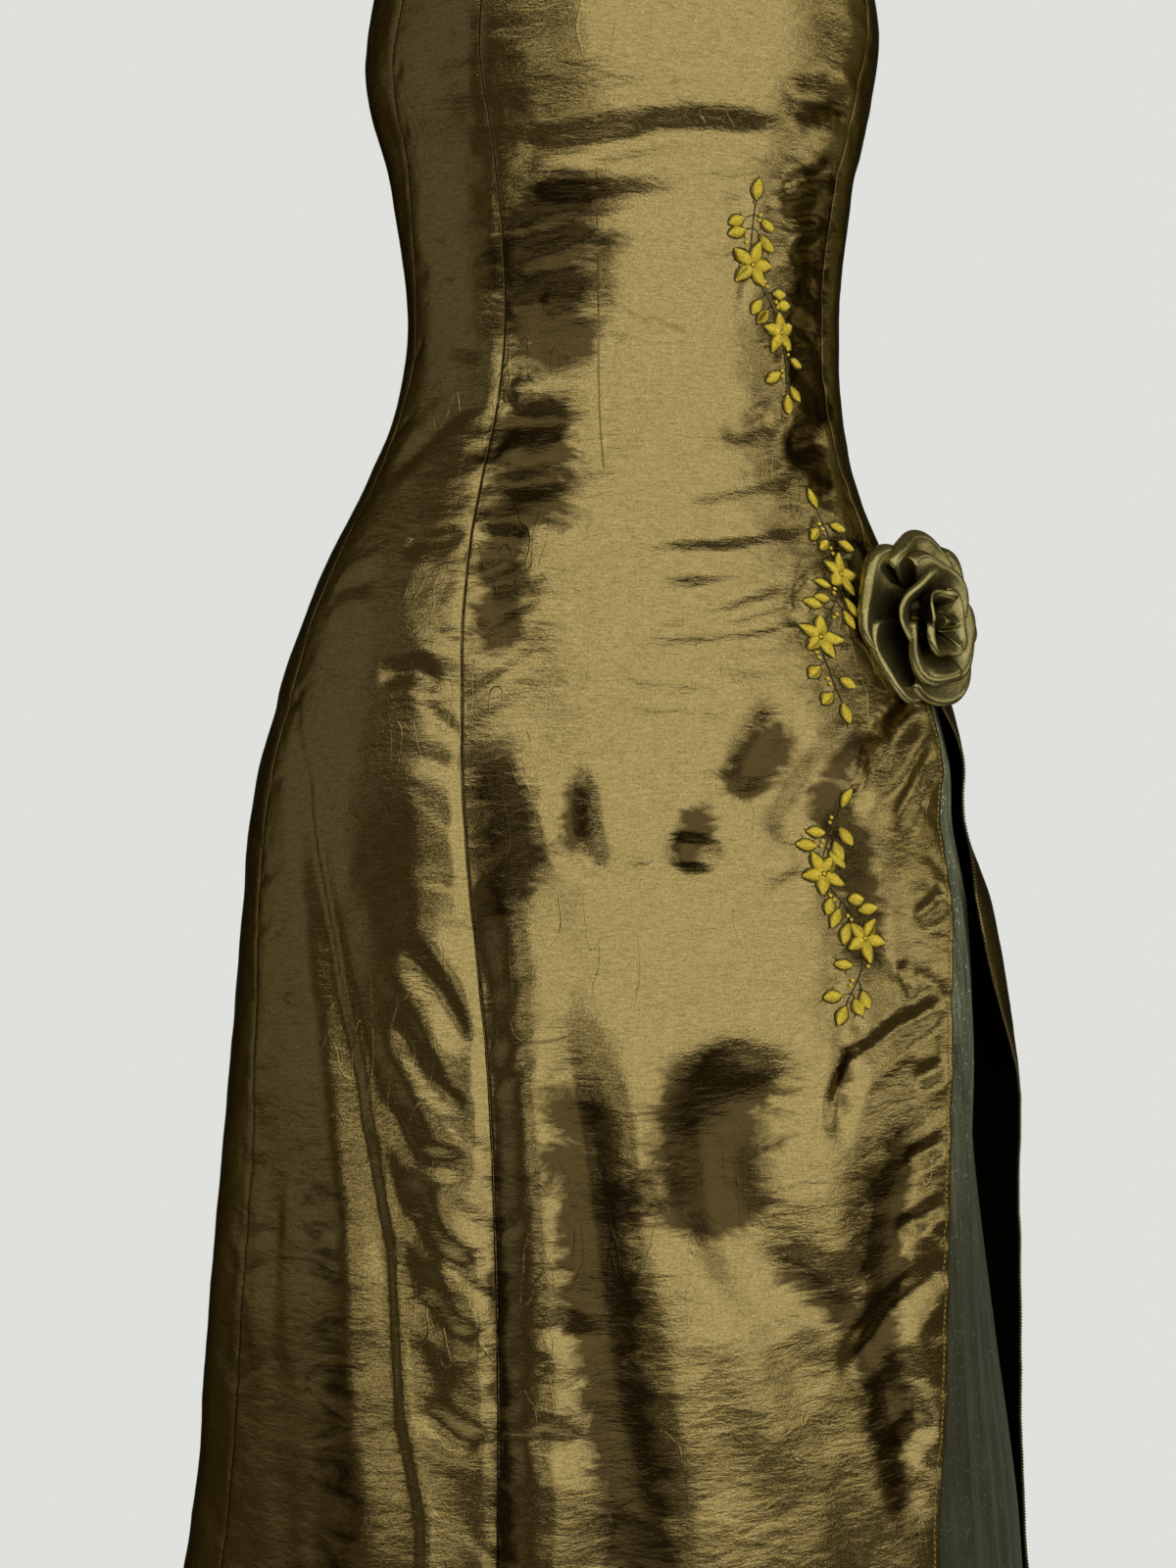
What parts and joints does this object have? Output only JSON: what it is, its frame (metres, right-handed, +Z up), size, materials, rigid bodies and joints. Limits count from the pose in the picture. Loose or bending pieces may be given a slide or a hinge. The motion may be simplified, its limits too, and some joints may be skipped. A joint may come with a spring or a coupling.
{
  "type": "evening gown",
  "caption": "Strapless full-length gown in bronze shot taffeta, with a slit over a green underlay, embroidered sprays and a fabric rose at the hip.",
  "frame": {"origin": "middle of the hollow at the bust line, where the wearer's bust and ribs hold the gown", "axes": "+Z up along the body, -Y to the front, +X to the wearer's left"},
  "size_m": [0.5592, 0.4371, 1.3136],
  "materials": {
    "bronze_taffeta": "shot taffeta, crisp and lustrous",
    "green_underlay": "dark green satin-backed organza with a fine glitter",
    "rose_satin": "sage satin, soft sheen",
    "embroidery_thread": "rayon machine embroidery, bright sheen",
    "sewing_thread": "polyester topstitching and overlocking thread",
    "zip_tape": "woven polyester tape",
    "zip_metal": "bronzed zinc"
  },
  "bodies": {
    "gown": {"front_centre": "bronze_taffeta", "side_front_right": "bronze_taffeta", "side_front_left": "bronze_taffeta", "back_right": "bronze_taffeta", "back_left": "bronze_taffeta", "slit_underlay": "green_underlay", "rose_base": "rose_satin", "rose_bud": "rose_satin", "rose_outer_petal_1": "rose_satin", "rose_outer_petal_2": "rose_satin", "rose_outer_petal_3": "rose_satin", "rose_outer_petal_4": "rose_satin", "rose_outer_petal_5": "rose_satin", "rose_middle_petal_1": "rose_satin", "rose_middle_petal_2": "rose_satin", "rose_middle_petal_3": "rose_satin", "rose_middle_petal_4": "rose_satin", "rose_inner_petal_1": "rose_satin", "rose_inner_petal_2": "rose_satin", "rose_inner_petal_3": "rose_satin", "zip_tape": "zip_tape", "zip_slider": "zip_metal"},
    "pull_tab": {"zip_pull_tab": "zip_metal"}
  },
  "joints": [
    {"name": "pull_tab_hinge", "type": "hinge", "parent": "gown", "child": "pull_tab", "pos_m": [0, 0.09306, -0.08715], "axis": [1, 0, 0], "range_deg": [0, 150]}
  ]
}
